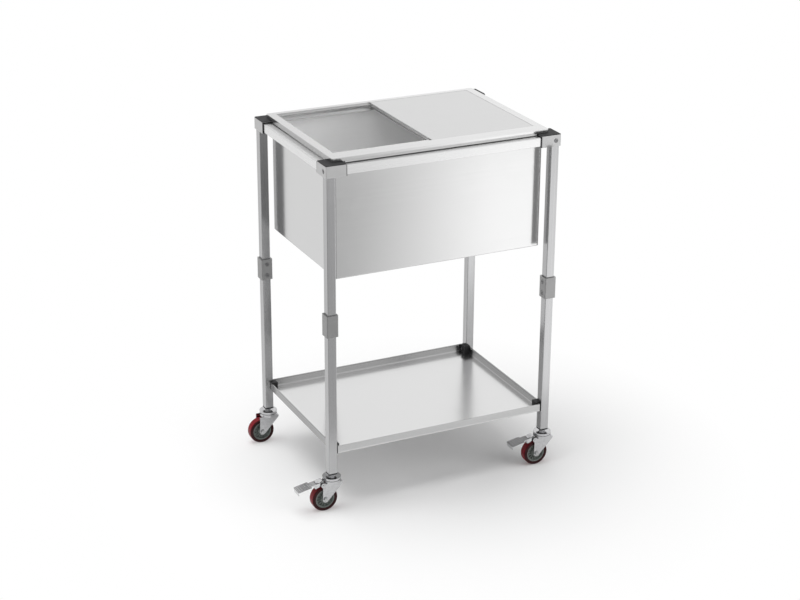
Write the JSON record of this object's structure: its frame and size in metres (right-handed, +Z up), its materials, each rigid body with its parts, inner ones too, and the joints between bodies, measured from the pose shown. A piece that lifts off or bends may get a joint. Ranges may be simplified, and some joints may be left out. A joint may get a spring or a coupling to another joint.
{
  "type": "rolling cooler cart",
  "caption": "Insulated stainless steel cooler bin with bypass sliding lids, in a square-tube frame over a shelf tray, on swivel casters.",
  "frame": {"origin": "on the floor, at the middle of the rectangle that the four legs make", "axes": "+X to the right along the cart's long side, +Y to the back, +Z up; the front is the -Y side, with the braked casters"},
  "size_m": [0.8014, 0.52, 1.011],
  "materials": {
    "stainless_tube": "brushed stainless tube",
    "cast_grey": "matt grey casting",
    "black_plastic": "matt black",
    "dark_screw": "dark plated steel",
    "stainless_satin": "satin stainless sheet",
    "stainless_polished": "fine brushed stainless sheet, near mirror",
    "foam": "rigid foam",
    "black_rubber": "matt rubber",
    "white_nylon": "natural nylon",
    "grey_plastic": "moulded grey plastic",
    "zinc_chrome": "bright plated steel",
    "hose_grey": "flexible grey plastic",
    "core_grey": "grey moulded core",
    "red_tread": "dark red polyurethane tread"
  },
  "bodies": {
    "frame": {"leg_upper_fl": "stainless_tube", "leg_upper_fr": "stainless_tube", "leg_upper_br": "stainless_tube", "leg_upper_bl": "stainless_tube", "leg_lower_fl": "stainless_tube", "leg_lower_fr": "stainless_tube", "leg_lower_br": "stainless_tube", "leg_lower_bl": "stainless_tube", "coupler_fl": "cast_grey", "coupler_fr": "cast_grey", "coupler_br": "cast_grey", "coupler_bl": "cast_grey", "corner_connector_fl": "cast_grey", "corner_connector_fr": "cast_grey", "corner_connector_br": "cast_grey", "corner_connector_bl": "cast_grey", "connector_caps": "black_plastic", "rail_front": "stainless_tube", "rail_back": "stainless_tube", "rail_left": "stainless_tube", "rail_right": "stainless_tube", "frame_screws": "dark_screw", "leg_end_plugs": "black_plastic", "shelf_tray": "stainless_satin", "shelf_corner_clips": "black_plastic", "bin_shell": "stainless_polished", "bin_insulation": "foam", "bin_tank": "stainless_polished", "bin_rim": "stainless_satin", "bin_seat": "black_rubber", "drain_flange": "stainless_polished", "drain_strainer": "grey_plastic", "drain_washer": "black_rubber", "drain_backnut": "zinc_chrome", "drain_union_nut": "grey_plastic", "drain_hose": "hose_grey", "caster_stems": "zinc_chrome", "swivel_balls": "zinc_chrome"},
    "lid_top": {"lid_upper": "stainless_satin", "lid_upper_glides": "white_nylon"},
    "lid_bottom": {"lid_lower": "stainless_satin", "lid_lower_glides": "white_nylon"},
    "swivel_fl": {"caster_fork_fl": "zinc_chrome", "wheel_axle_fl": "zinc_chrome"},
    "wheel_fl": {"wheel_core_fl": "core_grey", "wheel_tread_fl": "red_tread"},
    "swivel_fr": {"caster_fork_fr": "zinc_chrome", "wheel_axle_fr": "zinc_chrome"},
    "wheel_fr": {"wheel_core_fr": "core_grey", "wheel_tread_fr": "red_tread"},
    "swivel_br": {"caster_fork_br": "zinc_chrome", "wheel_axle_br": "zinc_chrome"},
    "wheel_br": {"wheel_core_br": "core_grey", "wheel_tread_br": "red_tread"},
    "swivel_bl": {"caster_fork_bl": "zinc_chrome", "wheel_axle_bl": "zinc_chrome"},
    "wheel_bl": {"wheel_core_bl": "core_grey", "wheel_tread_bl": "red_tread"},
    "brake_fl": {"brake_pedal_fl": "zinc_chrome"},
    "brake_fr": {"brake_pedal_fr": "zinc_chrome"}
  },
  "joints": [
    {"name": "lid_top_slide", "type": "slide", "parent": "frame", "child": "lid_top", "axis": [1, 0, 0], "range_m": [-0.287, 0]},
    {"name": "lid_bottom_slide", "type": "slide", "parent": "frame", "child": "lid_bottom", "axis": [1, 0, 0], "range_m": [-0.287, 0]},
    {"name": "swivel_turn_fl", "type": "hinge", "parent": "frame", "child": "swivel_fl", "pos_m": [-0.334, -0.234, 0.094], "axis": [0, 0, 1], "continuous": true},
    {"name": "wheel_spin_fl", "type": "hinge", "parent": "swivel_fl", "child": "wheel_fl", "pos_m": [-0.359, -0.234, 0.0375], "axis": [0, 1, 0], "continuous": true},
    {"name": "swivel_turn_fr", "type": "hinge", "parent": "frame", "child": "swivel_fr", "pos_m": [0.334, -0.234, 0.094], "axis": [0, 0, 1], "continuous": true},
    {"name": "wheel_spin_fr", "type": "hinge", "parent": "swivel_fr", "child": "wheel_fr", "pos_m": [0.309, -0.234, 0.0375], "axis": [0, 1, 0], "continuous": true},
    {"name": "swivel_turn_br", "type": "hinge", "parent": "frame", "child": "swivel_br", "pos_m": [0.334, 0.234, 0.094], "axis": [0, 0, 1], "continuous": true},
    {"name": "wheel_spin_br", "type": "hinge", "parent": "swivel_br", "child": "wheel_br", "pos_m": [0.309, 0.234, 0.0375], "axis": [0, 1, 0], "continuous": true},
    {"name": "swivel_turn_bl", "type": "hinge", "parent": "frame", "child": "swivel_bl", "pos_m": [-0.334, 0.234, 0.094], "axis": [0, 0, 1], "continuous": true},
    {"name": "wheel_spin_bl", "type": "hinge", "parent": "swivel_bl", "child": "wheel_bl", "pos_m": [-0.359, 0.234, 0.0375], "axis": [0, 1, 0], "continuous": true},
    {"name": "brake_pedal_press_fl", "type": "hinge", "parent": "swivel_fl", "child": "brake_fl", "pos_m": [-0.365, -0.234, 0.081], "axis": [0, 1, 0], "range_deg": [-10, 0]},
    {"name": "brake_pedal_press_fr", "type": "hinge", "parent": "swivel_fr", "child": "brake_fr", "pos_m": [0.303, -0.234, 0.081], "axis": [0, 1, 0], "range_deg": [-10, 0]}
  ]
}
